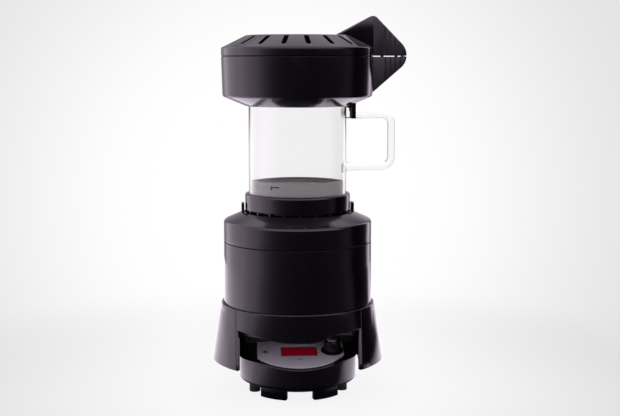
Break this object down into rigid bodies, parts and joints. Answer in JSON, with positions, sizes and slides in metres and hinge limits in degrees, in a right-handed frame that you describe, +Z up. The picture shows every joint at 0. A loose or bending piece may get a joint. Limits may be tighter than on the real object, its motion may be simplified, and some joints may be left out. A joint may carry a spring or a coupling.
{
  "type": "home coffee bean roaster",
  "caption": "Countertop fluid bed coffee roaster: glass chamber with handle on a round black base with a knob and display, and a slotted chaff collector with a paddle handle on top.",
  "frame": {"origin": "on the axis of the glass chamber at the height of the table that the feet stand on", "axes": "+Z up along the chamber axis, -Y towards the user and the control panel, +X to the right, where the paddle handle points"},
  "size_m": [0.2064, 0.1716, 0.3946],
  "materials": {
    "black_gloss": "high gloss black moulded plastic with faint purple sheen",
    "black_matte": "fine spark-eroded black plastic",
    "steel": "satin stainless steel",
    "silicone": "smooth silicone",
    "rubber": "matte rubber",
    "glass": "clear borosilicate glass",
    "silver_panel": "satin silver-grey lacquer",
    "red_lens": "dark red tinted acrylic",
    "dark_part": "matte black electronic part",
    "board": "green solder mask",
    "board_parts": "anodised heat sink and component cans",
    "magnet": "sintered ferrite",
    "winding": "enamelled copper winding",
    "mica": "layered mica sheet",
    "fuse_ceramic": "unglazed ceramic",
    "wire_jacket": "glass-fibre sleeve and flat cable"
  },
  "bodies": {
    "base": {"top_cover": "black_gloss", "main_shell": "black_gloss", "base_skirt": "black_gloss", "tub": "black_gloss", "foot_ring": "black_gloss", "intake_grille": "black_matte", "rubber_feet": "rubber", "cord_gland": "rubber", "tie_rods": "steel", "case_screws": "steel", "control_tray": "black_matte", "control_panel": "silver_panel", "display_lens": "red_lens", "display_module": "dark_part", "key_switches": "dark_part", "encoder_body": "steel", "control_board": "board", "board_screws": "steel", "ribbon_cable": "wire_jacket", "power_board": "board", "power_parts": "board_parts", "motor_deck": "black_matte", "motor_mount": "rubber", "motor_can": "steel", "motor_magnets": "magnet", "motor_bearings": "steel", "fan_shroud": "black_matte", "blower_housing": "black_matte", "flow_straightener": "black_matte", "heater_tube": "steel", "mica_cross": "mica", "heater_coil": "steel", "thermostat": "steel", "thermal_fuse": "fuse_ceramic", "heater_leads": "wire_jacket", "duct_seal": "silicone"},
    "chamber": {"glass_chamber": "glass", "steel_cup": "steel", "air_plate": "steel", "chamber_seal": "silicone", "chamber_collar": "black_gloss"},
    "collector": {"collector_bowl": "black_gloss", "riser_tube": "black_matte", "bean_guard": "steel", "collector_seal": "silicone"},
    "cover": {"lid_cover": "black_gloss", "chaff_screen": "steel", "screen_ring": "black_matte"},
    "start_key": {"start_button": "black_matte"},
    "mode_key": {"mode_button": "steel"},
    "encoder_push": {"encoder_plunger": "rubber"},
    "knob": {"knob_skirt": "silver_panel", "knob_body": "black_gloss", "knob_cap": "steel", "encoder_shaft": "steel"},
    "rotor": {"motor_shaft": "steel", "motor_rotor": "winding", "impeller": "black_matte"}
  },
  "joints": [
    {"name": "chamber_lift", "type": "slide", "parent": "base", "child": "chamber", "axis": [0, 0, 1], "range_m": [0, 0.06]},
    {"name": "collector_lift", "type": "slide", "parent": "chamber", "child": "collector", "axis": [0, 0, 1], "range_m": [0, 0.05]},
    {"name": "cover_lift", "type": "slide", "parent": "collector", "child": "cover", "axis": [0, 0, 1], "range_m": [0, 0.04]},
    {"name": "start_press", "type": "slide", "parent": "base", "child": "start_key", "axis": [0, 0.2504, -0.9681], "range_m": [0, 0.0008], "stiffness_N_per_m": 1500},
    {"name": "mode_press", "type": "slide", "parent": "base", "child": "mode_key", "axis": [0, 0.2504, -0.9681], "range_m": [0, 0.0008], "stiffness_N_per_m": 1500},
    {"name": "knob_press", "type": "slide", "parent": "base", "child": "encoder_push", "axis": [0, 0.2504, -0.9681], "range_m": [0, 0.0005], "stiffness_N_per_m": 4000},
    {"name": "knob_turn", "type": "hinge", "parent": "encoder_push", "child": "knob", "pos_m": [0.0348, -0.0236, 0.04564], "axis": [0, -0.2504, 0.9681], "continuous": true},
    {"name": "rotor_spin", "type": "hinge", "parent": "base", "child": "rotor", "pos_m": [0, 0, 0.09], "axis": [0, 0, 1], "continuous": true}
  ]
}
